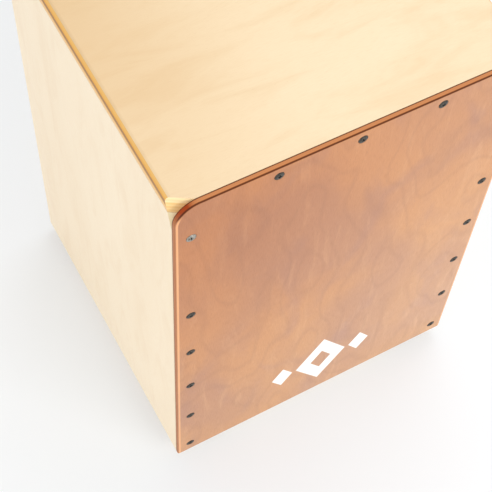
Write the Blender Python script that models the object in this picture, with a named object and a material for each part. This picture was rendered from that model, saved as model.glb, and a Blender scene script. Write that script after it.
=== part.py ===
"""Snare cajon: a wooden box drum with a screwed-on playing plate, in metres, +Z up.

The playing plate faces -Y and the sound hole faces +Y. The box stands on four rubber
feet at z = 0, with the origin midway between them.
"""

import math

import bmesh
import bpy
from mathutils import Matrix, Vector

# ---------------------------------------------------------------- driving dimensions
WIDTH = 0.300
DEPTH = 0.300
HEIGHT = 0.450
CLEARANCE = 0.0003
CUT_MARGIN = 0.003

FOOT_HEIGHT = 0.015
SEAT_THICK = 0.0125
SIDE_THICK = 0.015
BOTTOM_THICK = 0.0125
BACK_THICK = 0.006
BATTEN = 0.015

PLATE_THICK = 0.0045
PLATE_LIFT = 0.001
PLATE_CORNER = 0.020
PLATE_ARRIS = 0.002
SEAT_ARRIS = 0.0045
REAR_ARRIS = 0.0025
PANEL_ARRIS = 0.0008
BACK_ARRIS = 0.0005

# The flat cut behind each top corner of the plate, as lengths along the three edges
# that meet there: along the width, the depth and the height.
FACET = Vector((0.026, 0.0158, 0.041))

SOUND_HOLE_RADIUS = 0.059
SOUND_HOLE_HEIGHT = 0.276
SOUND_HOLE_LIP = 0.002

SCREW_HEAD_RADIUS = 0.0040
SCREW_SHANK_RADIUS = 0.0014
SCREW_DOME = 0.0008
SCREW_RIM = 0.0003
SCREW_LENGTH = 0.018
SCREW_POINT = 0.003
SCREW_SINK_ROOM = 0.0004
SCREW_TURN = math.radians(37)
RECESS_SPAN = 0.0046
RECESS_SLOT = 0.0011
RECESS_DEPTH = 0.0017
SIDE_SCREW_INSET = 0.0128
SIDE_SCREW_PITCH = 0.0653
SIDE_SCREWS_BELOW = 5
SIDE_SCREW_FOOT = 0.0154
SIDE_SCREW_TOP = 0.041
TOP_SCREW_DROP = 0.0103
TOP_SCREW_PITCH = 0.0683

FOOT_INSET = 0.035
FOOT_TOP_RADIUS = 0.019
FOOT_BASE_RADIUS = 0.017
FOOT_TOE = 0.0015
FOOT_HEEL = 0.001
FOOT_RECESS_RADIUS = 0.0085
FOOT_RECESS_DEPTH = 0.009
WASHER_RADIUS = 0.007
WASHER_THICK = 0.0012
FOOT_SCREW_RADIUS = 0.002
FOOT_SCREW_HEAD = 0.0042
FOOT_SCREW_LENGTH = 0.018

SNARE_BAR_DEPTH = 0.018
SNARE_BAR_HEIGHT = 0.030
SNARE_BAR_BOTTOM = 0.300
CRADLE_THICK = 0.012
CRADLE_ARM = 0.008
CRADLE_SEAT = 0.014
CRADLE_SCREW_REACH = 0.012
WIRES_PER_SET = 10
WIRE_RADIUS = 0.00095
WIRE_PITCH = 0.006
WIRE_OVERLAP = 0.004
WIRE_SINK = 0.0001
WIRE_SPLAY = math.radians(0.5)
WIRE_TIP_HEIGHT = 0.419
SNARE_SET_X = 0.062
WIRE_PLATE_THICK = 0.0008
WIRE_PLATE_HEIGHT = 0.016
SNARE_SCREW_REACH = 0.020
SNARE_SCREW_DROP = 0.003
SMALL_SCREW_RADIUS = 0.0012
SMALL_SCREW_HEAD = 0.0028
SMALL_SCREW_LENGTH = 0.012

# A pan head's rise, crown radius, recess span and slot, as parts of the head's radius.
PAN_RISE = 0.62
PAN_CROWN = 0.45
PAN_RECESS_SPAN = 1.1
PAN_RECESS_SLOT = 0.28
PAN_RECESS_DEPTH = 0.5

# ---------------------------------------------------------------- positions worked out
PLATE_FRONT = -DEPTH / 2 + SCREW_DOME
BODY_FRONT = PLATE_FRONT + PLATE_THICK + CLEARANCE
BODY_BACK = DEPTH / 2
SEAT_UNDER = HEIGHT - SEAT_THICK
SIDE_TOP = SEAT_UNDER - CLEARANCE
INNER_X = WIDTH / 2 - SIDE_THICK
BACK_INNER = BODY_BACK - BACK_THICK
FLOOR_TOP = FOOT_HEIGHT + BOTTOM_THICK
PLATE_BOTTOM = FOOT_HEIGHT + PLATE_LIFT
BAR_FRONT = BODY_FRONT + BATTEN + CRADLE_ARM + 2 * CLEARANCE
BAR_TOP = SNARE_BAR_BOTTOM + SNARE_BAR_HEIGHT


# ---------------------------------------------------------------- materials
def material(name, colour, roughness, metallic=0.0):
    made = bpy.data.materials.new(name)
    made.use_nodes = True
    shader = made.node_tree.nodes["Principled BSDF"]
    shader.inputs["Base Color"].default_value = (*colour, 1.0)
    shader.inputs["Roughness"].default_value = roughness
    shader.inputs["Metallic"].default_value = metallic
    made.diffuse_color = (*colour, 1.0)
    return made


# ---------------------------------------------------------------- mesh helpers
def object_from(bm, name, finish, location=(0, 0, 0), smooth_angle=35):
    """Makes an object of the bmesh, whose points are relative to the location."""
    bmesh.ops.recalc_face_normals(bm, faces=bm.faces)
    mesh = bpy.data.meshes.new(name)
    bm.to_mesh(mesh)
    bm.free()
    mesh.shade_smooth()
    mesh.set_sharp_from_angle(angle=math.radians(smooth_angle))
    return place(mesh, name, finish, location)


def place(mesh, name, finish, location, rotation=(0, 0, 0)):
    obj = bpy.data.objects.new(name, mesh)
    obj.location = location
    obj.rotation_euler = rotation
    if finish and not mesh.materials:
        mesh.materials.append(finish)
    bpy.context.scene.collection.objects.link(obj)
    obj.parent = cajon
    return obj


def block(low, high):
    """A box between two corners, as a bmesh about its own centre, with that centre."""
    low, high = Vector(low), Vector(high)
    bm = bmesh.new()
    size = high - low
    bmesh.ops.create_cube(bm, size=1.0, matrix=Matrix.Diagonal((*size, 1.0)))
    return bm, (low + high) / 2


def edges_where(bm, test):
    """The edges whose two ends and whose direction satisfy the test."""
    return [e for e in bm.edges if test((e.verts[0].co + e.verts[1].co) / 2, direction(e))]


def direction(edge):
    """Which axis the edge runs along: 0, 1 or 2."""
    run = edge.verts[1].co - edge.verts[0].co
    return max(range(3), key=lambda axis: abs(run[axis]))


def ease(bm, edges, radius, segments):
    bmesh.ops.bevel(bm, geom=edges, offset=radius, segments=segments, profile=0.5, affect="EDGES")


def slab(name, low, high, finish, arris=PANEL_ARRIS):
    """A board with all of its arrises slightly eased."""
    bm, centre = block(low, high)
    ease(bm, bm.edges[:], arris, 1)
    return object_from(bm, name, finish, centre)


def lathe(profile, segments):
    """Turns (radius, height) points about Z. The profile starts and ends on the axis."""
    bm = bmesh.new()
    rings = []
    for radius, height in profile:
        if radius == 0:
            rings.append([bm.verts.new((0, 0, height))])
            continue
        turns = [2 * math.pi * i / segments for i in range(segments)]
        rings.append([bm.verts.new((radius * math.cos(t), radius * math.sin(t), height)) for t in turns])
    for lower, upper in zip(rings, rings[1:]):
        skin(bm, lower, upper, segments)
    return bm


def skin(bm, lower, upper, segments):
    for i in range(segments):
        j = (i + 1) % segments
        corners = [lower[i % len(lower)], lower[j % len(lower)], upper[j % len(upper)], upper[i % len(upper)]]
        bm.faces.new(list(dict.fromkeys(corners)))


def ring(profile, segments):
    """Turns a closed (radius, height) outline that stays off the axis."""
    bm = bmesh.new()
    turns = [2 * math.pi * i / segments for i in range(segments)]
    rings = [[bm.verts.new((r * math.cos(t), r * math.sin(t), z)) for t in turns] for r, z in profile]
    for lower, upper in zip(rings, rings[1:] + rings[:1]):
        skin(bm, lower, upper, segments)
    return bm


def arc(centre, radius, start, end, steps):
    """Points of an arc in a plane, by its angles in degrees."""
    angles = [math.radians(start + (end - start) * i / steps) for i in range(steps + 1)]
    return [(centre[0] + radius * math.cos(a), centre[1] + radius * math.sin(a)) for a in angles]


def prism(outline, thickness, depth_axis="Y"):
    """Extrudes an outline of (u, v) points: (x, z) along Y, or (y, z) along X."""
    bm = bmesh.new()
    if depth_axis == "Y":
        verts = [bm.verts.new((u, 0, v)) for u, v in outline]
        run = Vector((0, thickness, 0))
    else:
        verts = [bm.verts.new((0, u, v)) for u, v in outline]
        run = Vector((thickness, 0, 0))
    face = bm.faces.new(verts)
    grown = bmesh.ops.extrude_face_region(bm, geom=[face])
    bmesh.ops.translate(bm, vec=run, verts=[v for v in grown["geom"] if isinstance(v, bmesh.types.BMVert)])
    return bm


def add_copy(target, source, matrix):
    """Adds a transformed copy of one bmesh to another."""
    copies = {v: target.verts.new(matrix @ v.co) for v in source.verts}
    for face in source.faces:
        target.faces.new([copies[v] for v in face.verts])


def cutter(bm, name):
    obj = object_from(bm, name, None)
    obj.hide_render = True
    obj.display_type = "WIRE"
    return obj


def boolean(obj, other, operation="DIFFERENCE"):
    modifier = obj.modifiers.new(other.name, "BOOLEAN")
    modifier.operation = operation
    modifier.solver = "EXACT"
    modifier.object = other


def facet_corners(bm, centre):
    """Cuts the flat off both top front corners of a board, in the board's own space."""
    for side in (-1, 1):
        corner = Vector((side * WIDTH / 2, PLATE_FRONT, HEIGHT)) - centre
        normal = Vector((side / FACET.x, -1 / FACET.y, 1 / FACET.z)).normalized()
        on_plane = corner - Vector((side * FACET.x, 0, 0))
        parts = bm.verts[:] + bm.edges[:] + bm.faces[:]
        made = bmesh.ops.bisect_plane(bm, geom=parts, plane_co=on_plane, plane_no=normal, clear_outer=True)
        rim = [e for e in made["geom_cut"] if isinstance(e, bmesh.types.BMEdge)]
        if rim:
            bmesh.ops.edgenet_fill(bm, edges=rim)


# ---------------------------------------------------------------- box panels
def seat_panel():
    """The seat lies on the side panels. Its side and rear top arrises are rounded over."""
    bm, centre = block((-WIDTH / 2, BODY_FRONT, SEAT_UNDER), (WIDTH / 2, BODY_BACK, HEIGHT))
    ease(bm, edges_where(bm, lambda at, axis: at.z > 0 and (axis == 1 or at.y > 0)), SEAT_ARRIS, 6)
    facet_corners(bm, centre)
    return object_from(bm, "seat_panel", birch, centre)


def side_panel(name, side):
    outer = side * WIDTH / 2
    inner = side * INNER_X
    low = (min(outer, inner), BODY_FRONT, FOOT_HEIGHT)
    high = (max(outer, inner), BODY_BACK, SIDE_TOP)
    bm, centre = block(low, high)
    outside = edges_where(bm, lambda at, axis: at.x * side > 0)
    rear = [e for e in outside if direction(e) == 2 and e.verts[0].co.y > 0]
    ease(bm, rear, REAR_ARRIS, 4)
    front = edges_where(bm, lambda at, axis: at.x * side > 0 and axis == 2 and at.y < 0)
    bottom = edges_where(bm, lambda at, axis: at.x * side > 0 and axis == 1 and at.z < 0)
    ease(bm, front + bottom, PANEL_ARRIS, 2)
    facet_corners(bm, centre)
    return object_from(bm, name, birch, centre)


def back_panel():
    """The thinner rear board, let in between the sides and under the seat."""
    edge = INNER_X - CLEARANCE
    panel = slab("back_panel", (-edge, BACK_INNER, FOOT_HEIGHT), (edge, BODY_BACK, SIDE_TOP), birch, BACK_ARRIS)
    lip = SOUND_HOLE_LIP
    hole = SOUND_HOLE_RADIUS
    outside = arc((hole + lip, BACK_THICK / 2 - lip), lip, 180, 90, 3)
    inside = arc((hole + lip, lip - BACK_THICK / 2), lip, 270, 180, 3)
    reach = BACK_THICK / 2 + CUT_MARGIN
    profile = [(0, -reach), (hole + lip, -reach), *inside, *outside, (hole + lip, reach), (0, reach)]
    bm = lathe(profile, segments=48)
    turn = Matrix.Rotation(math.radians(-90), 4, "X")
    at = Matrix.Translation((0, BODY_BACK - BACK_THICK / 2, SOUND_HOLE_HEIGHT))
    bmesh.ops.transform(bm, matrix=at @ turn, verts=bm.verts)
    boolean(panel, cutter(bm, "sound_hole_cutter"))
    return panel


def bottom_panel():
    edge = INNER_X - CLEARANCE
    low = (-edge, BODY_FRONT, FOOT_HEIGHT)
    return slab("bottom_panel", low, (edge, BACK_INNER - CLEARANCE, FLOOR_TOP), birch)


def battens():
    """Square glue battens inside the front and the rear edges of the box."""
    reach = INNER_X - CLEARANCE
    under_seat = SIDE_TOP - BATTEN
    on_floor = FLOOR_TOP + CLEARANCE + BATTEN
    fronts = {"front": BODY_FRONT, "rear": BACK_INNER - CLEARANCE - BATTEN}
    for end, y in fronts.items():
        back = y + BATTEN
        slab(f"{end}_batten_top", (-reach, y, under_seat), (reach, back, SIDE_TOP), spruce)
        slab(f"{end}_batten_bottom", (-reach, y, on_floor - BATTEN), (reach, back, on_floor), spruce)
        low_z = on_floor + CLEARANCE
        high_z = under_seat - CLEARANCE
        slab(f"{end}_batten_left", (-reach, y, low_z), (BATTEN - reach, back, high_z), spruce)
        slab(f"{end}_batten_right", (reach - BATTEN, y, low_z), (reach, back, high_z), spruce)


# ---------------------------------------------------------------- playing plate
def plate_screw_places():
    """Where the plate's screws stand, as name and (x, z)."""
    places = []
    for side, x in (("left", SIDE_SCREW_INSET - WIDTH / 2), ("right", WIDTH / 2 - SIDE_SCREW_INSET)):
        heights = [PLATE_BOTTOM + SIDE_SCREW_FOOT + i * SIDE_SCREW_PITCH for i in range(SIDE_SCREWS_BELOW)]
        heights.append(HEIGHT - SIDE_SCREW_TOP)
        places += [(f"plate_screw_{side}_{n}", x, z) for n, z in enumerate(heights, 1)]
    for n in range(3):
        places.append((f"plate_screw_top_{n + 1}", (n - 1) * TOP_SCREW_PITCH, HEIGHT - TOP_SCREW_DROP))
    return places


def front_plate():
    """The thin playing plate: round top corners, square bottom ones, eased front arris."""
    half = WIDTH / 2
    corner = PLATE_CORNER
    right = arc((half - corner, HEIGHT - corner), corner, 0, 90, 12)
    left = arc((corner - half, HEIGHT - corner), corner, 90, 180, 12)
    outline = [(-half, PLATE_BOTTOM), (half, PLATE_BOTTOM), *right, *left]
    bm = prism(outline, PLATE_THICK)
    rim = [e for e in bm.edges if all(abs(v.co.y) < 1e-6 for v in e.verts)]
    ease(bm, rim, PLATE_ARRIS, 5)
    centre = Vector((0, 0, HEIGHT / 2))
    bmesh.ops.translate(bm, vec=-centre, verts=bm.verts)
    plate = object_from(bm, "front_plate", stained, (0, PLATE_FRONT, HEIGHT / 2))
    sinks = bmesh.new()
    pin = lathe(countersink_profile(), segments=20)
    for _, x, z in plate_screw_places():
        add_copy(sinks, pin, Matrix.Translation((x, PLATE_FRONT, z)) @ FACE_IN)
    pin.free()
    boolean(plate, cutter(sinks, "countersink_cutter"))
    return plate


def countersink_profile():
    """A 90 degree countersink and its shank hole through the plate, +Z out of the face."""
    head = SCREW_HEAD_RADIUS + SCREW_SINK_ROOM
    shank = SCREW_SHANK_RADIUS + SCREW_SINK_ROOM
    sink = head - shank
    below = PLATE_THICK + CUT_MARGIN
    return [(0, CUT_MARGIN), (head, CUT_MARGIN), (head, 0), (shank, -sink), (shank, -below), (0, -below)]


def plate_screw_mesh():
    """An oval-head countersunk wood screw with a cross recess, +Z out of the plate."""
    dome_radius = (SCREW_HEAD_RADIUS**2 + SCREW_DOME**2) / (2 * SCREW_DOME)
    spread = math.degrees(math.asin(SCREW_HEAD_RADIUS / dome_radius))
    dome = arc((0, SCREW_DOME - dome_radius), dome_radius, 90, 90 - spread, 4)[1:-1]
    sink = SCREW_HEAD_RADIUS - SCREW_SHANK_RADIUS
    shoulder = SCREW_LENGTH - SCREW_POINT
    profile = [(0, SCREW_DOME), *dome, (SCREW_HEAD_RADIUS, 0), (SCREW_HEAD_RADIUS, -SCREW_RIM)]
    profile += [(SCREW_SHANK_RADIUS, -SCREW_RIM - sink), (SCREW_SHANK_RADIUS, -shoulder), (0, -SCREW_LENGTH)]
    blank = object_from(lathe(profile, segments=20), "screw_blank", black_steel)
    recess = cross_recess(RECESS_SPAN, RECESS_SLOT, SCREW_DOME, RECESS_DEPTH)
    boolean(blank, cutter(recess, "cross_recess_cutter"))
    return baked(blank, "plate_screw")


def cross_recess(span, slot, top, depth):
    """A tapered cross for a screwdriver, from above the head down into it."""
    levels = ((span / 2, top + CUT_MARGIN / 2), (span / 5, top - depth))
    bm = bmesh.new()
    rings = [[bm.verts.new((x, y, z)) for x, y in cross_outline(reach, slot / 2)] for reach, z in levels]
    skin(bm, rings[0], rings[1], len(rings[0]))
    for loop in rings:
        bm.faces.new(loop)
    return bm


def cross_outline(reach, half):
    """The twelve corners of a plus sign."""
    arm = [(reach, -half), (reach, half), (half, half)]
    points = []
    for _ in range(4):
        points += arm
        arm = [(-y, x) for x, y in arm]
    return points


def baked(obj, name):
    """The object's mesh with its modifiers applied; the object and its cutters go."""
    graph = bpy.context.evaluated_depsgraph_get()
    mesh = bpy.data.meshes.new_from_object(obj.evaluated_get(graph))
    mesh.name = name
    cutters = [m.object for m in obj.modifiers]
    for used in [obj, *cutters]:
        bpy.data.objects.remove(used)
    return mesh


def plate_screws():
    """The plate's screws, each of whose recesses stopped at an angle of its own."""
    mesh = plate_screw_mesh()
    for count, (name, x, z) in enumerate(plate_screw_places()):
        turn = (math.radians(90), SCREW_TURN * count, 0)
        place(mesh, name, black_steel, (x, PLATE_FRONT, z), turn)


def pilot_holes(seat, sides):
    """Pilot holes for the plate screws, in the front edges of the seat and the sides."""
    bm = bmesh.new()
    radius = SCREW_SHANK_RADIUS + CLEARANCE
    depth = SCREW_LENGTH + CLEARANCE * 2
    outline = [(0, CUT_MARGIN), (radius, CUT_MARGIN), (radius, -depth), (0, -depth)]
    pin = lathe(outline, segments=16)
    for _, x, z in plate_screw_places():
        add_copy(bm, pin, Matrix.Translation((x, PLATE_FRONT, z)) @ FACE_IN)
    pin.free()
    holes = cutter(bm, "pilot_hole_cutter")
    for panel in [seat, *sides]:
        boolean(panel, holes)


# ---------------------------------------------------------------- feet
def foot_places():
    x = WIDTH / 2 - FOOT_INSET
    y = DEPTH / 2 - FOOT_INSET
    return {"front_left": (-x, -y), "front_right": (x, -y), "rear_left": (-x, y), "rear_right": (x, y)}


def foot_mesh():
    """A turned rubber foot with a recess below for its screw and washer."""
    top = FOOT_HEIGHT - CLEARANCE
    bore = FOOT_SCREW_RADIUS + CLEARANCE
    shelf = FOOT_RECESS_DEPTH
    toe = arc((FOOT_BASE_RADIUS - FOOT_TOE, FOOT_TOE), FOOT_TOE, 270, 350, 2)
    heel = arc((FOOT_TOP_RADIUS - FOOT_HEEL, top - FOOT_HEEL), FOOT_HEEL, 10, 90, 2)
    outline = [(FOOT_RECESS_RADIUS, 0), *toe, *heel, (bore, top), (bore, shelf), (FOOT_RECESS_RADIUS, shelf)]
    return baked(object_from(ring(outline, segments=32), "foot_blank", rubber), "rubber_foot")


def washer_mesh():
    bore = FOOT_SCREW_RADIUS + CLEARANCE
    half = WASHER_THICK / 2
    outline = [(bore, -half), (WASHER_RADIUS, -half), (WASHER_RADIUS, half), (bore, half)]
    return baked(object_from(ring(outline, segments=24), "washer_blank", zinc), "washer")


def pan_screw_mesh(name, radius, head, length):
    """A pan-head screw with a cross recess, +Z out of the head, z = 0 under the head."""
    rise = head * PAN_RISE
    crown_radius = head * PAN_CROWN
    crown = arc((head - crown_radius, rise - crown_radius), crown_radius, 90, 0, 3)
    profile = [(0, rise), *crown, (head, 0), (radius, 0), (radius, -length + radius * 2), (0, -length)]
    blank = object_from(lathe(profile, segments=16), f"{name}_blank", zinc)
    recess = cross_recess(head * PAN_RECESS_SPAN, head * PAN_RECESS_SLOT, rise, head * PAN_RECESS_DEPTH)
    boolean(blank, cutter(recess, f"{name}_recess_cutter"))
    return baked(blank, name)


def feet(floor):
    """Four rubber feet, each held by a pan-head screw and a washer into the bottom."""
    foot = foot_mesh()
    washer = washer_mesh()
    screw = pan_screw_mesh("foot_screw", FOOT_SCREW_RADIUS, FOOT_SCREW_HEAD, FOOT_SCREW_LENGTH)
    washer_z = FOOT_RECESS_DEPTH - CLEARANCE - WASHER_THICK / 2
    head_z = washer_z - WASHER_THICK / 2 - CLEARANCE
    depth = head_z + FOOT_SCREW_LENGTH + CLEARANCE
    radius = FOOT_SCREW_RADIUS + CLEARANCE
    pin = lathe([(0, head_z), (radius, head_z), (radius, depth), (0, depth)], segments=16)
    bm = bmesh.new()
    for where, (x, y) in foot_places().items():
        place(foot, f"foot_{where}", rubber, (x, y, 0))
        place(washer, f"foot_washer_{where}", zinc, (x, y, washer_z))
        place(screw, f"foot_screw_{where}", zinc, (x, y, head_z), (math.pi, 0, 0))
        add_copy(bm, pin, Matrix.Translation((x, y, 0)))
    pin.free()
    boolean(floor, cutter(bm, "foot_pilot_cutter"))


# ---------------------------------------------------------------- snare system
def small_screw_hole(pins, at, turn):
    """Adds a blind pilot hole for a small pan-head screw to the cutter."""
    radius = SMALL_SCREW_RADIUS + CLEARANCE
    depth = SMALL_SCREW_LENGTH + CLEARANCE
    outline = [(0, CUT_MARGIN), (radius, CUT_MARGIN), (radius, -depth), (0, -depth)]
    pin = lathe(outline, segments=12)
    add_copy(pins, pin, Matrix.Translation(at) @ turn)
    pin.free()


def snare_cradles(screw, sides):
    """U-shaped cradles on the side panels, open at the top, that hold the snare bar."""
    middle_y = BAR_FRONT + SNARE_BAR_DEPTH / 2
    slot_front = BAR_FRONT - CLEARANCE
    slot_back = BAR_FRONT + SNARE_BAR_DEPTH + CLEARANCE
    slot_floor = SNARE_BAR_BOTTOM - CLEARANCE
    front = slot_front - CRADLE_ARM
    back = slot_back + CRADLE_ARM
    low = slot_floor - CRADLE_SEAT
    high = BAR_TOP
    outline = [(front, low), (back, low), (back, high), (slot_back, high), (slot_back, slot_floor)]
    outline += [(slot_front, slot_floor), (slot_front, high), (front, high)]
    screw_y = (middle_y - CRADLE_SCREW_REACH, middle_y + CRADLE_SCREW_REACH)
    screw_z = low + CRADLE_SEAT / 2
    for word, side, panel in (("left", -1, sides[0]), ("right", 1, sides[1])):
        outer = side * (INNER_X - CLEARANCE)
        inner = outer - side * CRADLE_THICK
        bm = prism(outline, CRADLE_THICK, "X")
        bmesh.ops.translate(bm, vec=(0, -middle_y, -slot_floor), verts=bm.verts)
        centre = (min(outer, inner), middle_y, slot_floor)
        cradle = object_from(bm, f"snare_cradle_{word}", beech, centre)
        inward = math.radians(-90 * side)
        pins = bmesh.new()
        for n, y in enumerate(screw_y, 1):
            at = Vector((inner - side * CLEARANCE, y, screw_z))
            small_screw_hole(pins, at, Matrix.Rotation(inward, 4, "Y"))
            place(screw, f"cradle_screw_{word}_{n}", zinc, at, (0, inward, 0))
        holes = cutter(pins, f"cradle_pilot_cutter_{word}")
        boolean(cradle, holes)
        boolean(panel, holes)


def snare_bar(screw):
    """The wooden crossbar, with a set of snare wires screwed to each half of its face."""
    reach = INNER_X - CLEARANCE * 2
    low = (-reach, BAR_FRONT, SNARE_BAR_BOTTOM)
    bar = slab("snare_bar", low, (reach, BAR_FRONT + SNARE_BAR_DEPTH, BAR_TOP), beech)
    plate_front = BAR_FRONT - CLEARANCE - WIRE_PLATE_THICK
    plate_z = BAR_TOP - WIRE_PLATE_HEIGHT / 2
    pins = bmesh.new()
    for word, side in (("left", -1), ("right", 1)):
        x = side * SNARE_SET_X
        snare_wires(f"snare_wires_{word}", (x, plate_front, plate_z))
        for n, reach_x in enumerate((-SNARE_SCREW_REACH, SNARE_SCREW_REACH), 1):
            at = Vector((x + reach_x, plate_front - CLEARANCE, plate_z - SNARE_SCREW_DROP))
            small_screw_hole(pins, at, FACE_IN)
            place(screw, f"snare_screw_{word}_{n}", zinc, at, (math.radians(90), 0, 0))
    holes = cutter(pins, "snare_pilot_cutter")
    boolean(bar, holes)
    for word in ("left", "right"):
        boolean(bpy.data.objects[f"snare_wires_{word}"], holes)


def snare_wires(name, location):
    """One snare set: wires soldered along a steel end plate, rising to touch the plate."""
    half = WIRES_PER_SET * WIRE_PITCH / 2
    low = (-half, 0, -WIRE_PLATE_HEIGHT / 2)
    bm, _ = block(low, (half, WIRE_PLATE_THICK, WIRE_PLATE_HEIGHT / 2))
    bmesh.ops.translate(bm, vec=(0, WIRE_PLATE_THICK / 2, 0), verts=bm.verts)
    end_plate = object_from(bm, f"{name}_plate", snare_steel)
    solder_y = WIRE_PLATE_THICK - WIRE_SINK - WIRE_RADIUS
    root = Vector((0, solder_y, WIRE_PLATE_HEIGHT / 2 - WIRE_OVERLAP))
    tip_y = PLATE_FRONT + PLATE_THICK + CLEARANCE + WIRE_RADIUS - location[1]
    tip_z = WIRE_TIP_HEIGHT - location[2]
    rods = bmesh.new()
    for n in range(WIRES_PER_SET):
        across = n - (WIRES_PER_SET - 1) / 2
        start = root + Vector((across * WIRE_PITCH, 0, 0))
        end = Vector((start.x + math.tan(WIRE_SPLAY * across) * tip_z, tip_y, tip_z))
        run = end - start
        aim = run.to_track_quat("Z", "Y").to_matrix().to_4x4()
        outline = [(0, 0), (WIRE_RADIUS, 0), (WIRE_RADIUS, run.length), (0, run.length)]
        rod = lathe(outline, segments=6)
        add_copy(rods, rod, Matrix.Translation(start) @ aim)
        rod.free()
    boolean(end_plate, cutter(rods, f"{name}_rods"), "UNION")
    place(baked(end_plate, name), name, snare_steel, location)


# ---------------------------------------------------------------- assembly
for old in list(bpy.data.objects):
    bpy.data.objects.remove(old)

cajon = bpy.data.objects.new("cajon", None)
bpy.context.scene.collection.objects.link(cajon)

# Turns a fastener modelled along +Z so that its head faces out of the playing plate.
FACE_IN = Matrix.Rotation(math.radians(90), 4, "X")

birch = material("birch_plywood", (0.84, 0.66, 0.40), 0.55)
spruce = material("spruce_batten", (0.76, 0.58, 0.34), 0.70)
beech = material("beech", (0.66, 0.44, 0.25), 0.60)
stained = material("stained_birch", (0.42, 0.19, 0.10), 0.50)
black_steel = material("black_screw_steel", (0.03, 0.03, 0.035), 0.38, 0.8)
zinc = material("zinc_steel", (0.62, 0.63, 0.65), 0.35, 1.0)
snare_steel = material("snare_steel", (0.70, 0.70, 0.72), 0.28, 1.0)
rubber = material("black_rubber", (0.025, 0.025, 0.025), 0.85)

seat = seat_panel()
side_panels = [side_panel("side_panel_left", -1), side_panel("side_panel_right", 1)]
back_panel()
floor_panel = bottom_panel()
battens()
front_plate()
plate_screws()
pilot_holes(seat, side_panels)
feet(floor_panel)
small_screw = pan_screw_mesh("small_screw", SMALL_SCREW_RADIUS, SMALL_SCREW_HEAD, SMALL_SCREW_LENGTH)
snare_cradles(small_screw, side_panels)
snare_bar(small_screw)
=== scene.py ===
"""Looks of the snare cajon: materials, finer screws, feet and snare coils, light and camera."""

import math

import bmesh
import bpy
from mathutils import Matrix, Quaternion, Vector


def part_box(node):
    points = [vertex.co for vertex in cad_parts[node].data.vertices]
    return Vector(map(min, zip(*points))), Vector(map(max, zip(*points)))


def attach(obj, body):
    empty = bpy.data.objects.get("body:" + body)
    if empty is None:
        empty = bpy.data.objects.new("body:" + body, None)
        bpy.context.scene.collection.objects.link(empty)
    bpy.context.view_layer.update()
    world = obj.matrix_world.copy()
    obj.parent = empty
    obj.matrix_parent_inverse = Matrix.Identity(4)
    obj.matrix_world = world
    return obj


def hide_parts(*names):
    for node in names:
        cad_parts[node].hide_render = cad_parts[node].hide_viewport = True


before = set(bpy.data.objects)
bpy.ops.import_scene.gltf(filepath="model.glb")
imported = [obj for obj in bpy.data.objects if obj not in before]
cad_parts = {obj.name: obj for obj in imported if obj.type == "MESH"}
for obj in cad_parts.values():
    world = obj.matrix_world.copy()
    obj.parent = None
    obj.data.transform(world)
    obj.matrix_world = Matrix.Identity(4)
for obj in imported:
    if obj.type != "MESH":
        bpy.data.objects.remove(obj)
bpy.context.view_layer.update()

PLATE_LOW, PLATE_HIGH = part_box("front_plate")
SEAT_LOW, SEAT_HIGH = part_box("seat_panel")
SIDE_LOW, SIDE_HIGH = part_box("side_panel_left")
BACK_LOW, BACK_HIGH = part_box("back_panel")
BOTTOM_LOW, BOTTOM_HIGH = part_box("bottom_panel")

MM = 0.001

# ---------------------------------------------------------------- camera
FOCAL_TO_WIDTH = 2.5813
CAMERA_AT = Vector((-0.35095, -0.55560, 1.17043))
CAMERA_HEADING = math.radians(32.56)
CAMERA_DIP = math.radians(59.155)
CAMERA_ROLL = math.radians(4.41)


def make_camera():
    """The steep view from above the left front corner."""
    data = bpy.data.cameras.new("camera")
    data.sensor_width = 36.0
    data.lens = data.sensor_width * FOCAL_TO_WIDTH
    camera = bpy.data.objects.new("camera", data)
    aim = Vector((math.sin(CAMERA_HEADING), math.cos(CAMERA_HEADING), -math.tan(CAMERA_DIP)))
    camera.rotation_mode = "QUATERNION"
    camera.rotation_quaternion = aim.to_track_quat("-Z", "Y") @ Quaternion((0, 0, 1), CAMERA_ROLL)
    camera.location = CAMERA_AT
    bpy.context.scene.collection.objects.link(camera)
    bpy.context.scene.camera = camera


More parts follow.
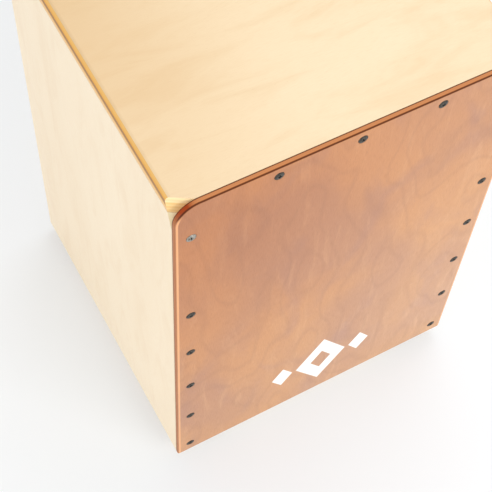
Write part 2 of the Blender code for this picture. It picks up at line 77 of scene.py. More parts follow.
# ---------------------------------------------------------------- material recipes
class Recipe:
    """A Principled material whose nodes are added one call at a time."""

    def __init__(self, name, roughness=0.5, metallic=0.0):
        self.material = bpy.data.materials.new(name)
        self.material.use_nodes = True
        self.nodes = self.material.node_tree.nodes
        self.links = self.material.node_tree.links
        self.shader = self.nodes["Principled BSDF"]
        self.shader.inputs["Roughness"].default_value = roughness
        self.shader.inputs["Metallic"].default_value = metallic
        self.place = self.nodes.new("ShaderNodeTexCoord").outputs["Object"]

    def feed(self, socket, value):
        """Links an output to the socket, or sets a plain value on it."""
        if isinstance(value, bpy.types.NodeSocket):
            self.links.new(value, socket)
        elif isinstance(value, tuple) and len(value) == 3 and socket.type == "RGBA":
            socket.default_value = (*value, 1.0)
        else:
            socket.default_value = value

    def noise(self, scale, detail=3.0, roughness=0.5, distortion=0.0, shift=(0, 0, 0)):
        """Noise of 0 to 1, with its repeats per metre given along x, y and z."""
        place = self.nodes.new("ShaderNodeMapping")
        self.links.new(self.place, place.inputs["Vector"])
        place.inputs["Scale"].default_value = scale
        place.inputs["Location"].default_value = shift
        node = self.nodes.new("ShaderNodeTexNoise")
        self.links.new(place.outputs["Vector"], node.inputs["Vector"])
        node.inputs["Scale"].default_value = 1.0
        node.inputs["Detail"].default_value = detail
        node.inputs["Roughness"].default_value = roughness
        node.inputs["Distortion"].default_value = distortion
        return node.outputs["Fac"]

    def math(self, operation, first, second=0.0):
        """One step of arithmetic on plain values or outputs."""
        node = self.nodes.new("ShaderNodeMath")
        node.operation = operation
        for socket, value in zip(node.inputs, (first, second)):
            self.feed(socket, value)
        return node.outputs[0]

    def span(self, value, low, high, to_low=0.0, to_high=1.0):
        """The value, taken smoothly from one range to another and clamped there."""
        node = self.nodes.new("ShaderNodeMapRange")
        node.interpolation_type = "SMOOTHSTEP"
        names = ("Value", "From Min", "From Max", "To Min", "To Max")
        for name, number in zip(names, (value, low, high, to_low, to_high)):
            self.feed(node.inputs[name], number)
        return node.outputs["Result"]

    def band(self, value, start, end, soft):
        """1 between start and end, 0 outside, over soft steps."""
        rise = self.span(value, start - soft / 2, start + soft / 2)
        fall = self.span(value, end - soft / 2, end + soft / 2, 1.0, 0.0)
        return self.math("MULTIPLY", rise, fall)

    def times(self, *values):
        product = values[0]
        for value in values[1:]:
            product = self.math("MULTIPLY", product, value)
        return product

    def mix(self, factor, first, second):
        """A blend of two colours."""
        node = self.nodes.new("ShaderNodeMix")
        node.data_type = "RGBA"
        self.feed(node.inputs[0], factor)
        self.feed(node.inputs[6], first)
        self.feed(node.inputs[7], second)
        return node.outputs[2]

    def tint(self, factor, colour, by):
        """The colour, multiplied by another to the given degree."""
        node = self.mix(factor, colour, by).node
        node.blend_type = "MULTIPLY"
        return node.outputs[2]

    def ramp(self, value, stops):
        """Colours by value: stops are (value, colour), and the colours blend between them."""
        node = self.nodes.new("ShaderNodeValToRGB")
        low, high = stops[0][0], stops[-1][0]
        points = node.color_ramp.elements
        while len(points) < len(stops):
            points.new(0.5)
        for point, (at, colour) in zip(points, stops):
            point.position = (at - low) / (high - low)
            point.color = (*colour, 1.0)
        above = self.math("SUBTRACT", value, low)
        self.feed(node.inputs["Fac"], self.math("DIVIDE", above, high - low))
        return node.outputs["Color"]

    def split(self, vector):
        node = self.nodes.new("ShaderNodeSeparateXYZ")
        self.links.new(vector, node.inputs[0])
        return node.outputs

    def normal(self):
        """The flat surface's direction, as absolute x, y and z."""
        parts = self.split(self.nodes.new("ShaderNodeNewGeometry").outputs["True Normal"])
        return [self.math("ABSOLUTE", part) for part in parts]

    def colour(self, value):
        self.feed(self.shader.inputs["Base Color"], value)

    def roughness(self, value):
        self.feed(self.shader.inputs["Roughness"], value)

    def bump(self, height, strength, distance):
        node = self.nodes.new("ShaderNodeBump")
        self.links.new(height, node.inputs["Height"])
        node.inputs["Strength"].default_value = strength
        node.inputs["Distance"].default_value = distance
        self.links.new(node.outputs["Normal"], self.shader.inputs["Normal"])


def rgb(red, green, blue):
    """Linear colour of an 8-bit sRGB one."""
    scaled = (red / 255, green / 255, blue / 255)
    return tuple(c / 12.92 if c <= 0.04045 else ((c + 0.055) / 1.055) ** 2.4 for c in scaled)


def shade(colour, factor):
    return tuple(c * factor for c in colour)


def along(axis, run, across):
    """Noise scales for fibres that run along an axis."""
    return tuple(run if index == axis else across for index in range(3))


# ---------------------------------------------------------------- birch plywood
SEAT_TONES = (rgb(253, 231, 194), rgb(249, 224, 184), rgb(226, 184, 126))
SIDE_TONES = (rgb(248, 230, 201), rgb(245, 225, 194), rgb(230, 200, 160))
END_GRAIN = rgb(222, 170, 104)
LONG_GRAIN = rgb(242, 208, 156)
GLUE = rgb(160, 108, 56)
# Pale cream painted on the boards' sloping corner flats, standing in for light on them.
CORNER_PAINTED_LIGHT = rgb(255, 242, 200)
SEAT_FLAT_UPPER = rgb(254, 232, 180)
SEAT_FLAT_LOWER = rgb(254, 214, 146)
SEAT_PLIES = 9
SIDE_PLIES = 11
BACK_PLIES = 5
BOTTOM_PLIES = 9
PLY_WAVE = 0.4 * MM
FLAT_REACH = 18 * MM

# The seat's rounded edge, by depth below its top: amber down to the line where the
# rounding stops, then paler towards the side board.
SEAT_EDGE = (
    (0.0 * MM, rgb(244, 190, 100)),
    (3.0 * MM, rgb(240, 178, 80)),
    (3.7 * MM, rgb(136, 76, 22)),
    (6.4 * MM, rgb(132, 74, 24)),
    (7.8 * MM, rgb(228, 172, 96)),
    (9.6 * MM, rgb(240, 196, 132)),
    (12.5 * MM, rgb(240, 208, 164)),
)


def veneer(recipe, axis, tones, shift):
    """Rotary-cut birch under clear lacquer: faint clouds and flames, fibres and short flecks."""
    pale, mid, deep = tones
    clouds = recipe.noise(along(axis, 3.0, 8.0), detail=2.0, distortion=0.5, shift=shift)
    wide = along(axis, 11.0, 46.0)
    flame = recipe.noise(wide, detail=4.0, roughness=0.55, distortion=1.0, shift=shift)
    fibre = recipe.noise(along(axis, 110.0, 2200.0), detail=3.0, roughness=0.65, shift=shift)
    flecks = recipe.noise(along(axis, 240.0, 1700.0), detail=1.0, shift=shift)
    flecks = recipe.span(flecks, 0.66, 0.80)
    tone = recipe.mix(recipe.span(clouds, 0.32, 0.68), pale, mid)
    tone = recipe.mix(recipe.times(recipe.span(flame, 0.44, 0.76), 0.26), tone, deep)
    tone = recipe.mix(recipe.times(recipe.span(fibre, 0.42, 0.72), 0.14), tone, deep)
    tone = recipe.mix(recipe.times(flecks, 0.18), tone, shade(deep, 0.72))
    return tone, recipe.math("SUBTRACT", fibre, recipe.times(flecks, 0.6))


def plies(recipe, depth, thickness, count):
    """A cut plywood edge: end and long grain by turns, with thin glue lines between."""
    wobble = recipe.math("SUBTRACT", recipe.noise((30.0, 30.0, 30.0), detail=2.0), 0.5)
    wavy = recipe.math("ADD", depth, recipe.times(wobble, PLY_WAVE))
    number = recipe.math("DIVIDE", wavy, thickness / count)
    turn = recipe.math("PINGPONG", number, 1.0)
    off_line = recipe.math("ABSOLUTE", recipe.math("SUBTRACT", turn, 0.5))
    line = recipe.span(off_line, 0.0, 0.09, 1.0, 0.0)
    pores = recipe.span(recipe.noise((1500.0, 1500.0, 1500.0), detail=2.0), 0.5, 0.7)
    end_grain = recipe.mix(pores, END_GRAIN, shade(END_GRAIN, 0.8))
    layers = recipe.mix(recipe.span(turn, 0.44, 0.56), end_grain, LONG_GRAIN)
    return recipe.mix(recipe.times(line, 0.5), layers, GLUE)


def dull(recipe, where):
    """Takes most of the gloss off bare cut edges and dark lines."""
    recipe.feed(recipe.shader.inputs["Specular IOR Level"], recipe.span(where, 0.0, 1.0, 0.5, 0.15))


def lacquer(recipe, height):
    """A satin clear coat that follows the fibres."""
    recipe.roughness(recipe.span(height, 0.2, 0.8, 0.36, 0.50))
    recipe.bump(height, 0.10, 0.1 * MM)
    return recipe.material


def seat_material():
    """The seat board: veneer with its grain across, amber rounded edges and the front flats."""
    recipe = Recipe("seat_birch")
    face, height = veneer(recipe, 0, SEAT_TONES, (0, 0, 0))
    x, y, z = recipe.split(recipe.place)
    # Painted shade: the veneer deepens towards its deep tone at the rear left corner.
    shade_to_left = recipe.span(x, SEAT_LOW.x, 0.0, 0.65, 0.0)
    shade_to_rear = recipe.span(y, SEAT_LOW.y, 0.10, 0.45, 1.0)
    face = recipe.mix(recipe.times(shade_to_left, shade_to_rear), face, SEAT_TONES[2])
    depth = recipe.math("SUBTRACT", SEAT_HIGH.z, z)
    layers = plies(recipe, depth, SEAT_HIGH.z - SEAT_LOW.z, SEAT_PLIES)
    edge = recipe.mix(0.22, recipe.ramp(depth, SEAT_EDGE), layers)
    streaks = recipe.noise((50.0, 50.0, 2600.0), detail=3.0, roughness=0.6)
    edge = recipe.mix(recipe.times(recipe.span(streaks, 0.45, 0.75), 0.2), edge, END_GRAIN)
    flat = recipe.mix(recipe.span(depth, 3.6 * MM, 5.2 * MM), SEAT_FLAT_UPPER, SEAT_FLAT_LOWER)
    flat = recipe.mix(0.3, flat, layers)
    at_front = recipe.span(y, SEAT_LOW.y + FLAT_REACH, SEAT_LOW.y + FLAT_REACH + 1 * MM, 1.0, 0.0)
    facing = recipe.span(recipe.normal()[1], 0.6, 0.7)
    edge = recipe.mix(recipe.times(facing, at_front), edge, flat)
    cut = recipe.span(depth, 0.5 * MM, 0.75 * MM)
    dull(recipe, cut)
    recipe.colour(recipe.mix(cut, face, edge))
    return lacquer(recipe, height)


def board_material(name, tones, grain, depth_axis, outer, thickness, count, shift):
    """A plain birch board: veneer on its two faces, plies on its cut edges, and painted light, pale
    cream, on its sloping flats.
    """
    recipe = Recipe(name)
    face, height = veneer(recipe, grain, tones, shift)
    inward = recipe.math("SUBTRACT", recipe.split(recipe.place)[depth_axis], outer)
    layers = plies(recipe, recipe.math("ABSOLUTE", inward), thickness, count)
    layers = recipe.mix(0.45, layers, LONG_GRAIN)
    facing = recipe.normal()[depth_axis]
    cut = recipe.span(facing, 0.80, 0.96, 1.0, 0.0)
    dull(recipe, cut)
    # Painted light: the sloping corner flats are made pale cream, lighter than their plies.
    sloping = recipe.band(facing, 0.3, 0.7, 0.1)
    layers = recipe.mix(recipe.times(sloping, 0.8), layers, CORNER_PAINTED_LIGHT)
    recipe.colour(recipe.mix(cut, face, layers))
    return lacquer(recipe, height)


# ---------------------------------------------------------------- playing plate
STAIN_ORANGE = rgb(183, 118, 70)
STAIN_BROWN = rgb(168, 109, 72)
STAIN_PURPLE = rgb(143, 97, 80)
STAIN_LIGHT = rgb(199, 139, 93)
STAIN_DEEP = rgb(124, 74, 48)
# Painted sheen: the tint that pales the plate towards the bottom right.
PAINTED_SHEEN_TINT = (1.6, 2.4, 3.5)
EDGE_TOP = rgb(204, 132, 80)
EDGE_CORNER = rgb(164, 66, 22)
EDGE_SIDE = rgb(176, 110, 66)
EDGE_TONES = (
    (0.0, EDGE_SIDE),
    (0.3, EDGE_SIDE),
    (0.7, EDGE_CORNER),
    (0.9, EDGE_CORNER),
    (1.0, EDGE_TOP),
)
# Dark brown for the painted shadow line at the plate's back, and for the dark top line of stain and
# painted reflection.
EDGE_SHADOW_AND_STAIN = rgb(78, 32, 12)
# Painted highlight colour on the plate's side arrises.
EDGE_HIGHLIGHT = rgb(240, 176, 122)
PAINT = rgb(250, 248, 242)
PLATE_CORNER = 20 * MM
DARK_LINE = (0.2 * MM, 1.2 * MM)
# Inset of the painted highlight from the plate's outline.
HIGHLIGHT_LINE = (0.9 * MM, 2.5 * MM)
MOTIF_CENTRE = (2 * MM, PLATE_LOW.z + 65 * MM)
MOTIF_SIZE = (27 * MM, 41 * MM)
MOTIF_SMALL = (11 * MM, 17 * MM)
MOTIF_SPREAD = 42 * MM


def diamond(recipe, x, z, shift, half_width, half_height):
    """1 inside an upright diamond beside the motif's centre, 0 outside."""
    off_x = recipe.math("ABSOLUTE", recipe.math("SUBTRACT", x, MOTIF_CENTRE[0] + shift))
    off_z = recipe.math("ABSOLUTE", recipe.math("SUBTRACT", z, MOTIF_CENTRE[1]))
    part_x = recipe.math("DIVIDE", off_x, half_width)
    part_z = recipe.math("DIVIDE", off_z, half_height)
    return recipe.span(recipe.math("ADD", part_x, part_z), 0.98, 1.02, 1.0, 0.0)


def motif(recipe, x, z):
    """A plain painted figure: an open diamond between two small ones."""
    around_opening = recipe.span(diamond(recipe, x, z, 0, *MOTIF_SMALL), 0.0, 1.0, 1.0, 0.0)
    paint = recipe.times(diamond(recipe, x, z, 0, *MOTIF_SIZE), around_opening)
    for shift in (-MOTIF_SPREAD, MOTIF_SPREAD):
        paint = recipe.math("MAXIMUM", paint, diamond(recipe, x, z, shift, *MOTIF_SMALL))
    return paint


def stain(recipe):
    """Brown stain over upright veneer: clouds, nested flame arches, fibres and flecks.

    It is painted paler towards the bottom right: a painted sheen of light reflected off the
    lacquer.
    """
    clouds = recipe.noise((8.0, 8.0, 6.0), detail=3.0, roughness=0.5, distortion=0.6)
    patches = recipe.noise((20.0, 20.0, 11.0), detail=3.0, distortion=0.8, shift=(3.1, 0, 1.7))
    flame = recipe.noise((70.0, 70.0, 12.0), detail=4.0, roughness=0.6, distortion=1.6)
    hills = recipe.noise((9.0, 9.0, 4.0), detail=2.0)
    arches = recipe.math("PINGPONG", recipe.times(hills, 26.0), 1.0)
    fibre = recipe.noise((2400.0, 2400.0, 130.0), detail=3.0, roughness=0.65)
    flecks = recipe.span(recipe.noise((1600.0, 1600.0, 220.0), detail=1.0), 0.66, 0.80)
    tone = recipe.mix(recipe.span(clouds, 0.36, 0.66), STAIN_ORANGE, STAIN_BROWN)
    tone = recipe.mix(recipe.times(recipe.span(patches, 0.48, 0.78), 0.36), tone, STAIN_PURPLE)
    tone = recipe.mix(recipe.times(recipe.span(flame, 0.48, 0.8), 0.3), tone, STAIN_LIGHT)
    tone = recipe.mix(recipe.times(recipe.span(arches, 0.6, 1.0), 0.12), tone, STAIN_DEEP)
    tone = recipe.mix(recipe.times(recipe.span(fibre, 0.42, 0.72), 0.2), tone, STAIN_DEEP)
    tone = recipe.mix(recipe.times(flecks, 0.3), tone, STAIN_DEEP)
    x, _, z = recipe.split(recipe.place)
    # Painted sheen: paler towards the right and the bottom, for light reflected off the lacquer.
    across = recipe.span(x, PLATE_LOW.x, PLATE_HIGH.x, 0.0, 0.30)
    sheen_down = recipe.span(z, PLATE_HIGH.z, PLATE_LOW.z, 0.0, 0.45)
    tone = recipe.tint(recipe.math("ADD", across, sheen_down), tone, PAINTED_SHEEN_TINT)
    return tone, recipe.math("SUBTRACT", fibre, recipe.times(flecks, 0.6))


def rim_place(recipe, x, z):
    """How far in from the plate's outline a point is, and how much the outline faces up there."""
    sideways = recipe.math("SUBTRACT", recipe.math("ABSOLUTE", x), PLATE_HIGH.x - PLATE_CORNER)
    sideways = recipe.math("MAXIMUM", sideways, 0.0)
    upward = recipe.math("MAXIMUM", recipe.math("SUBTRACT", z, PLATE_HIGH.z - PLATE_CORNER), 0.0)
    squares = recipe.math("ADD", recipe.times(sideways, sideways), recipe.times(upward, upward))
    reach = recipe.math("SQRT", squares)
    inset = recipe.math("SUBTRACT", PLATE_CORNER, reach)
    topness = recipe.math("DIVIDE", upward, recipe.math("MAXIMUM", reach, 0.1 * MM))
    return inset, topness


def plate_material():
    """The stained playing plate: its round edge with a painted shadow line at the back, a dark top
    line, painted highlights on the side arrises, and the motif.
    """
    recipe = Recipe("stained_plate")
    base, grain = stain(recipe)
    x, y, z = recipe.split(recipe.place)
    facing = recipe.normal()[1]
    depth = recipe.math("SUBTRACT", y, PLATE_LOW.y)
    inset, topness = rim_place(recipe, x, z)
    edge = recipe.ramp(topness, EDGE_TONES)
    # Painted shadow: a dark line at the back of the plate's edge, where it meets the box.
    back_gap_shadow = recipe.span(depth, 3.6 * MM, 4.1 * MM)
    edge = recipe.mix(recipe.times(back_gap_shadow, 0.85), edge, EDGE_SHADOW_AND_STAIN)
    rim = recipe.span(facing, 0.55, 0.80, 1.0, 0.0)
    base = recipe.mix(rim, base, edge)
    at_front = recipe.span(depth, 1.3 * MM, 1.6 * MM, 1.0, 0.0)
    on_top = recipe.span(topness, 0.2, 0.6)
    on_side = recipe.span(topness, 0.3, 0.7, 1.0, 0.0)
    # The dark line along the top front arris: stain soaked into the rounded edge, and partly a
    # painted dark reflection.
    dark = recipe.times(recipe.band(inset, *DARK_LINE, 0.4 * MM), on_top, at_front)
    # Painted highlight: a pale line along each side's front arris, where it catches light.
    lighter = recipe.times(recipe.band(inset, *HIGHLIGHT_LINE, 0.6 * MM), on_side, at_front)
    dull(recipe, recipe.math("MAXIMUM", rim, dark))
    base = recipe.mix(recipe.times(dark, 0.9), base, EDGE_SHADOW_AND_STAIN)
    base = recipe.mix(recipe.times(lighter, 0.75), base, EDGE_HIGHLIGHT)
    paint = recipe.times(motif(recipe, x, z), recipe.span(facing, 0.8, 0.95))
    recipe.colour(recipe.mix(paint, base, PAINT))
    recipe.roughness(recipe.span(grain, 0.2, 0.8, 0.36, 0.52))
    recipe.bump(recipe.math("ADD", grain, recipe.times(paint, 0.8)), 0.14, 0.1 * MM)
    return recipe.material


# ---------------------------------------------------------------- other materials
SPRUCE_PALE = rgb(240, 208, 150)
SPRUCE_DEEP = rgb(214, 168, 104)
# Near black of the painted shade in the screws' cross recesses.
PAINTED_RECESS_SHADE = rgb(14, 12, 11)
SCREW_RECESS_REACH = 2.3 * MM
# One screw is given paler steel than the others.
PALE_SCREW = "plate_screw_left_6"
SINGLE_FINISHES = {
    "seat_panel": "seat",
    "side_panel_left": "side_left",
    "side_panel_right": "side_right",
    "back_panel": "back",
    "bottom_panel": "bottom",
    "front_plate": "plate",
    "snare_bar": "beech",
    PALE_SCREW: "pale_steel",
}
SPLIT_ANGLE = math.radians(32)
SIDE_SPLIT_ANGLE = math.radians(15)
WELD_DISTANCE = 0.001 * MM


def timber(name, pale, deep, axis):
    """Planed solid wood with growth lines along its length."""
    recipe = Recipe(name, roughness=0.7)
    rings = recipe.noise(along(axis, 6.0, 420.0), detail=3.0, distortion=0.4)
    fibre = recipe.noise(along(axis, 150.0, 3000.0), detail=3.0, roughness=0.7)
    tone = recipe.mix(recipe.span(rings, 0.4, 0.65), pale, deep)
    recipe.colour(recipe.mix(recipe.times(fibre, 0.3), tone, shade(deep, 0.6)))
    recipe.bump(fibre, 0.3, 0.2 * MM)
    return recipe.material


def mottled(name, grain, colours, roughness, metallic=0.0, bump=0.0):
    """Metal or rubber whose colour and roughness vary with a fine even grain."""
    recipe = Recipe(name, metallic=metallic)
    spots = recipe.noise(grain, detail=4.0, roughness=0.6)
    recipe.colour(recipe.mix(recipe.span(spots, 0.35, 0.72), *colours))
    recipe.roughness(recipe.span(spots, 0.3, 0.7, *roughness))
    if bump:
        recipe.bump(spots, bump, 0.08 * MM)
    return recipe.material


def screw_steel(name, colours, roughness, metallic):
    """Mottled steel for the plate screws, with painted shade, near black, down in the cross recess.
    """
    recipe = Recipe(name, metallic=metallic)
    spots = recipe.noise((700.0, 700.0, 700.0), detail=2.0)
    x, y, z = recipe.split(recipe.place)
    across = recipe.math("SQRT", recipe.math("ADD", recipe.times(x, x), recipe.times(y, y)))
    within = recipe.span(across, SCREW_RECESS_REACH, SCREW_RECESS_REACH + 0.1 * MM, 1.0, 0.0)
    # Painted shade: the cross recess turns near black and less metallic.
    recess = recipe.times(within, recipe.span(z, 0.25 * MM, 0.5 * MM, 1.0, 0.0))
    tone = recipe.mix(recipe.span(spots, 0.35, 0.72), *colours)
    recipe.colour(recipe.mix(recipe.times(recess, 0.9), tone, PAINTED_RECESS_SHADE))
    recipe.feed(recipe.shader.inputs["Metallic"], recipe.span(recess, 0.0, 1.0, metallic, 0.1))
    recipe.roughness(recipe.span(spots, 0.3, 0.7, *roughness))
    return recipe.material


def boards():
    """Materials of the box's flat boards."""
    side_thick = SIDE_HIGH.x - SIDE_LOW.x
    back_thick = BACK_HIGH.y - BACK_LOW.y
    bottom_thick = BOTTOM_HIGH.z - BOTTOM_LOW.z
    sides = (SIDE_TONES, 2, 0)
    rows = {
        "side_left": ("side_birch_left", *sides, SIDE_LOW.x, side_thick, SIDE_PLIES, (0, 2, 0)),
        "side_right": ("side_birch_right", *sides, -SIDE_LOW.x, side_thick, SIDE_PLIES, (0, 5, 0)),
        "back": ("back_birch", SEAT_TONES, 2, 1, BACK_HIGH.y, back_thick, BACK_PLIES, (7, 0, 0)),
        "bottom": (
            "bottom_birch", SEAT_TONES, 0, 2, BOTTOM_HIGH.z, bottom_thick, BOTTOM_PLIES, (0, 9, 0)
        ),
    }
    return {use: board_material(*row) for use, row in rows.items()}


def finishes():
    """All materials, by what they are for."""
    black = (rgb(58, 54, 50), rgb(96, 92, 84))
    lighter = (rgb(186, 182, 172), rgb(118, 114, 106))
    zinc = (rgb(212, 214, 220), rgb(176, 180, 190))
    wire = (rgb(226, 226, 228), rgb(188, 190, 196))
    rubber = (rgb(30, 30, 31), rgb(50, 50, 52))
    return {
        **boards(),
        "seat": seat_material(),
        "plate": plate_material(),
        "spruce_upright": timber("spruce_upright", SPRUCE_PALE, SPRUCE_DEEP, 2),
        "spruce_level": timber("spruce_level", SPRUCE_PALE, SPRUCE_DEEP, 0),
        "beech": timber("beech", rgb(222, 172, 124), rgb(196, 140, 96), 0),
        "black_steel": screw_steel("blackened_steel", black, (0.32, 0.48), 0.8),
        "pale_steel": screw_steel("pale_steel", lighter, (0.3, 0.45), 0.9),
        "zinc": mottled("zinc_steel", (500,) * 3, zinc, (0.26, 0.45), metallic=1.0),
        "wire": mottled("snare_wire_steel", (4000, 4000, 400), wire, (0.2, 0.36), metallic=1.0),
        "rubber": mottled("black_rubber", (1800,) * 3, rubber, (0.7, 0.9), bump=0.25),
    }


def dress(node, finish):
    """Gives a CAD node its finish, and smooth shading that stops at its arrises.

    On the side panels it also stops where the corner's flat meets the eased front arris.
    """
    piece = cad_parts[node]
    piece.data.materials.clear()
    piece.data.materials.append(finish)
    for face in piece.data.polygons:
        face.use_smooth = True
    weld = piece.modifiers.new("weld", "WELD")
    weld.merge_threshold = WELD_DISTANCE
    split = piece.modifiers.new("arris_split", "EDGE_SPLIT")
    split.split_angle = SIDE_SPLIT_ANGLE if node.startswith("side_panel") else SPLIT_ANGLE
    even = piece.modifiers.new("even_normals", "WEIGHTED_NORMAL")
    even.keep_sharp = True


def finish_of(node, made):
    """The finish for a CAD node, by its name."""
    if node in SINGLE_FINISHES:
        return made[SINGLE_FINISHES[node]]
    if "batten" in node:
        return made["spruce_upright" if node.endswith(("left", "right")) else "spruce_level"]
    if node.startswith("snare_cradle"):
        return made["beech"]
    if node.startswith("plate_screw"):
        return made["black_steel"]
    if node.startswith("snare_wires"):
        return made["wire"]
    if "screw" in node or "washer" in node:
        return made["zinc"]
    return made["rubber"]


# ---------------------------------------------------------------- finer pieces
SCREW_HEAD = 4.0 * MM
SCREW_DOME = 0.8 * MM
SCREW_RIM = 0.3 * MM
SCREW_SHANK = 1.4 * MM
SCREW_SHOULDER = 15 * MM
SCREW_LENGTH = 18 * MM
SCREW_TURN = math.radians(37)
RECESS_SLOT = 1.0 * MM
RECESS_DEPTH = 1.7 * MM
RECESS_TAPER = 0.45

FOOT_HEIGHT = 14.7 * MM
FOOT_TOP_RADIUS = 19 * MM
FOOT_BASE_RADIUS = 17 * MM
FOOT_RECESS = (8.5 * MM, 9 * MM)
FOOT_BORE = 2.3 * MM
FOOT_GROOVE = 0.35 * MM
FOOT_GROOVES_UP = (0.36, 0.68)
FOOT_TOE = 1.5 * MM
FOOT_HEEL = 1.0 * MM

WIRES = 10
WIRE_PITCH = 6 * MM
WIRE_SPLAY = math.radians(0.5)
WIRE_ROOT = Vector((0, -1.05 * MM, 12 * MM))
COIL_RADIUS = 0.70 * MM
COIL_WIRE = 0.24 * MM
COIL_LEAD = 1.4 * MM
COIL_STEPS = 8
COIL_SIDES = 4
SNARE_PLATE = Vector((60, 0.8, 16)) * MM
SNARE_PLATE_ARRIS = 0.25 * MM
BEAD_RADIUS = 1.0 * MM
BEAD_STRETCH = (1.5, 0.8, 1.3, 1.0)


def turned(profile, segments, closed=False):
    """Turns (radius, height) points about Z. A closed profile stays off the axis."""
    bm = bmesh.new()
    turns = [2 * math.pi * i / segments for i in range(segments)]
    rings = []
    for radius, height in profile:
        around = turns if radius else turns[:1]
        points = [(radius * math.cos(turn), radius * math.sin(turn), height) for turn in around]
        rings.append([bm.verts.new(point) for point in points])
    pairs = list(zip(rings, rings[1:]))
    if closed:
        pairs.append((rings[-1], rings[0]))
    for lower, upper in pairs:
        for i in range(segments):
            j = (i + 1) % segments
            around = ((lower, i), (lower, j), (upper, j), (upper, i))
            corners = dict.fromkeys(ring[k % len(ring)] for ring, k in around)
            bm.faces.new(list(corners))
    return bm


def arc(centre, radius, start, end, steps):
    """Points of an arc in a plane, by its angles in degrees."""
    angles = [math.radians(start + (end - start) * i / steps) for i in range(steps + 1)]
    return [(centre[0] + radius * math.cos(a), centre[1] + radius * math.sin(a)) for a in angles]


def mesh_of(bm, name, smooth_angle=35):
    """A mesh of the bmesh, which it frees, with its sharp edges marked by angle."""
    bmesh.ops.recalc_face_normals(bm, faces=bm.faces)
    mesh = bpy.data.meshes.new(name)
    bm.to_mesh(mesh)
    bm.free()
    mesh.shade_smooth()
    mesh.set_sharp_from_angle(angle=math.radians(smooth_angle))
    return mesh


def stand_in(mesh, node, finish, matrix):
    """Shows the mesh in place of a CAD node."""
    if not mesh.materials:
        mesh.materials.append(finish)
    piece = bpy.data.objects.new(f"fine_{node}", mesh)
    piece.matrix_world = matrix
    bpy.context.scene.collection.objects.link(piece)
    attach(piece, "root")
    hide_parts(node)


def cross_prism():
    """The tapered cross that a screwdriver fits, from above the head down into it."""
    bm = bmesh.new()
    half = RECESS_SLOT / 2
    rings = []
    tip = SCREW_RECESS_REACH * RECESS_TAPER
    for reach, z in ((SCREW_RECESS_REACH, 2 * SCREW_DOME), (tip, SCREW_DOME - RECESS_DEPTH)):
        arm = [(reach, -half), (reach, half), (half, half)]
        ring = []
        for _ in range(4):
            ring += [bm.verts.new((x, y, z)) for x, y in arm]
            arm = [(-y, x) for x, y in arm]
        rings.append(ring)
    for i in range(12):
        j = (i + 1) % 12
        bm.faces.new((rings[0][i], rings[0][j], rings[1][j], rings[1][i]))
    for ring in rings:
        bm.faces.new(ring)
    return bm


def screw_mesh():
    """An oval-head countersunk screw with a crisp cross recess, +Z out of its head."""
    dome_radius = (SCREW_HEAD**2 + SCREW_DOME**2) / (2 * SCREW_DOME)
    spread = math.degrees(math.asin(SCREW_HEAD / dome_radius))
    dome = arc((0, SCREW_DOME - dome_radius), dome_radius, 90, 90 - spread, 10)
    profile = [(0, SCREW_DOME), *dome[1:]]
    profile += [(SCREW_HEAD, -SCREW_RIM), (SCREW_SHANK, SCREW_SHANK - SCREW_HEAD - SCREW_RIM)]
    profile += [(SCREW_SHANK, -SCREW_SHOULDER), (0, -SCREW_LENGTH)]
    blank = bpy.data.objects.new("screw_blank", mesh_of(turned(profile, 64), "screw_blank"))
    cross = bpy.data.objects.new("cross", mesh_of(cross_prism(), "cross"))
    for made_object in (blank, cross):
        bpy.context.scene.collection.objects.link(made_object)
    cut = blank.modifiers.new("recess", "BOOLEAN")
    cut.solver = "EXACT"
    cut.object = cross
    graph = bpy.context.evaluated_depsgraph_get()
    mesh = bpy.data.meshes.new_from_object(blank.evaluated_get(graph))
    mesh.name = "oval_screw"
    for made_object in (blank, cross):
        bpy.data.objects.remove(made_object)
    return mesh


def fine_screws(made):
    """The plate's screws, in the same order and at the same turns as the CAD ones."""
    names = [f"plate_screw_{side}_{n}" for side in ("left", "right") for n in range(1, 7)]
    names += [f"plate_screw_top_{n}" for n in range(1, 4)]
    black = screw_mesh()
    lighter = black.copy()
    face_out = Matrix.Rotation(math.radians(90), 4, "X")
    for count, node in enumerate(names):
        low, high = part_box(node)
        at = Vector(((low.x + high.x) / 2, PLATE_LOW.y, (low.z + high.z) / 2))
        turn = Matrix.Rotation(SCREW_TURN * count, 4, "Z")
        mesh = lighter if node == PALE_SCREW else black
        stand_in(mesh, node, finish_of(node, made), Matrix.Translation(at) @ face_out @ turn)


def fine_feet(made):
    """Moulded rubber feet with soft arrises and two grooves round the side."""
    toe, heel = FOOT_TOE, FOOT_HEEL
    low = arc((FOOT_BASE_RADIUS - toe, toe), toe, 270, 350, 6)
    top = arc((FOOT_TOP_RADIUS - heel, FOOT_HEIGHT - heel), heel, 10, 90, 6)
    side = []
    groove = FOOT_GROOVE
    for part in FOOT_GROOVES_UP:
        radius = FOOT_BASE_RADIUS + (FOOT_TOP_RADIUS - FOOT_BASE_RADIUS) * part
        height = FOOT_HEIGHT * part
        side += [(radius, height - groove), (radius - groove, height), (radius, height + groove)]
    recess, shelf = FOOT_RECESS
    lip = arc((recess + heel, heel), heel, 180, 270, 4)
    bore = [(FOOT_BORE, FOOT_HEIGHT), (FOOT_BORE, shelf)]
    outline = [*lip, *low, *side, *top, *bore, (recess, shelf)]
    mesh = mesh_of(turned(outline, 96, closed=True), "moulded_foot")
    for node in ("foot_front_left", "foot_front_right", "foot_rear_left", "foot_rear_right"):
        low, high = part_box(node)
        at = Vector(((low.x + high.x) / 2, (low.y + high.y) / 2, 0))
        stand_in(mesh, node, made["rubber"], Matrix.Translation(at))


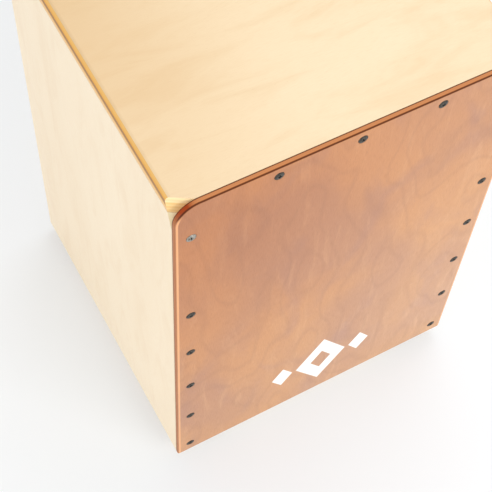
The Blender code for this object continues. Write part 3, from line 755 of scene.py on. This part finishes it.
def coil(bm, start, end):
    """A closely wound wire from start to end."""
    run = end - start
    along_run = run.to_track_quat("Z", "Y").to_matrix()
    count = int(run.length / COIL_LEAD * COIL_STEPS)
    before = None
    for i in range(count + 1):
        angle = 2 * math.pi * i / COIL_STEPS
        outward = Vector((math.cos(angle), math.sin(angle), 0))
        centre = outward * COIL_RADIUS + Vector((0, 0, run.length * i / count))
        ring = []
        for k in range(COIL_SIDES):
            tilt = 2 * math.pi * k / COIL_SIDES
            point = centre + COIL_WIRE * (outward * math.cos(tilt) + Vector((0, 0, math.sin(tilt))))
            ring.append(bm.verts.new(start + along_run @ point))
        if before:
            for k in range(COIL_SIDES):
                j = (k + 1) % COIL_SIDES
                bm.faces.new((before[k], before[j], ring[j], ring[k]))
        else:
            bm.faces.new(ring[::-1])
        before = ring
    bm.faces.new(before)


def fine_snares(made):
    """Snare sets of coiled wires, each soldered with a bead to its end plate."""
    for word in ("left", "right"):
        node = f"snare_wires_{word}"
        low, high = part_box(node)
        foot = Vector(((low.x + high.x) / 2, high.y, low.z))
        tip_y = low.y + COIL_RADIUS + COIL_WIRE - foot.y
        tip_z = high.z - COIL_RADIUS - foot.z
        bm = bmesh.new()
        middle = Matrix.Translation((0, -SNARE_PLATE.y / 2, SNARE_PLATE.z / 2))
        bmesh.ops.create_cube(bm, size=1.0, matrix=middle @ Matrix.Diagonal((*SNARE_PLATE, 1.0)))
        arrises = bm.edges[:]
        eased = {"offset": SNARE_PLATE_ARRIS, "segments": 2, "profile": 0.5, "affect": "EDGES"}
        bmesh.ops.bevel(bm, geom=arrises, **eased)
        for n in range(WIRES):
            across = n - (WIRES - 1) / 2
            root = WIRE_ROOT + Vector((across * WIRE_PITCH, 0, 0))
            tip = Vector((root.x + math.tan(WIRE_SPLAY * across) * tip_z, tip_y, tip_z))
            coil(bm, root, tip)
            bead = Matrix.Translation(root) @ Matrix.Diagonal(BEAD_STRETCH)
            bmesh.ops.create_icosphere(bm, subdivisions=2, radius=BEAD_RADIUS, matrix=bead)
        stand_in(mesh_of(bm, f"snare_set_{word}"), node, made["wire"], Matrix.Translation(foot))


# ---------------------------------------------------------------- stage and light
FLOOR_HALF_SIZE = 6.0
FLOOR_DROP = 0.2 * MM
FLOOR_GLOW = 0.45
WORLD = 0.585

# Name, place, target, size in metres, watts, and whether it shows as glare.
LAMPS = (
    ("key_left", (-2.0, -0.45, 0.55), (-0.15, 0, 0.28), 0.9, 12, True),
    ("seat_right", (0.9, 0.7, 2.5), (0, 0, 0.4), 1.5, 19, True),
    ("front_right", (0.7, -2.0, 1.0), (0, -0.15, 0.2), 1.2, 28, False),
    ("front_high", (-0.5, -1.6, 2.1), (0, 0, 0.3), 1.0, 2.4, True),
)


def make_floor():
    """A large pale floor, a hair below the soles so that they don't coincide with it."""
    bm = bmesh.new()
    bmesh.ops.create_grid(bm, x_segments=1, y_segments=1, size=FLOOR_HALF_SIZE)
    mesh = bpy.data.meshes.new("floor")
    bm.to_mesh(mesh)
    bm.free()
    floor = bpy.data.objects.new("floor", mesh)
    floor.location.z = -FLOOR_DROP
    bpy.context.scene.collection.objects.link(floor)
    recipe = Recipe("floor_paper", roughness=0.9)
    mottle = recipe.noise((3.0, 3.0, 3.0), detail=2.0)
    recipe.colour(recipe.mix(mottle, rgb(182, 185, 188), rgb(187, 190, 192)))
    recipe.shader.inputs["Specular IOR Level"].default_value = 0.1
    recipe.shader.inputs["Emission Color"].default_value = (1.0, 1.0, 1.0, 1.0)
    recipe.shader.inputs["Emission Strength"].default_value = FLOOR_GLOW
    mesh.materials.append(recipe.material)


def soft_box(name, at, target, size, power, glossy):
    """A square area light. One that isn't glossy leaves no glare on the lacquer."""
    data = bpy.data.lights.new(name, "AREA")
    data.size = size
    data.energy = power
    lamp = bpy.data.objects.new(name, data)
    lamp.location = at
    lamp.rotation_mode = "QUATERNION"
    lamp.rotation_quaternion = (Vector(target) - Vector(at)).to_track_quat("-Z", "Y")
    lamp.visible_camera = False
    lamp.visible_glossy = glossy
    bpy.context.scene.collection.objects.link(lamp)


def make_light():
    """An even white surround and the soft boxes."""
    world = bpy.data.worlds.new("studio")
    world.use_nodes = True
    back = world.node_tree.nodes["Background"]
    back.inputs["Color"].default_value = (1.0, 1.0, 1.0, 1.0)
    back.inputs["Strength"].default_value = WORLD
    bpy.context.scene.world = world
    bpy.context.scene.view_settings.view_transform = "Standard"
    for lamp in LAMPS:
        soft_box(*lamp)


make_camera()
made = finishes()
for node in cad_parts:
    dress(node, finish_of(node, made))
fine_screws(made)
fine_feet(made)
fine_snares(made)
make_floor()
make_light()
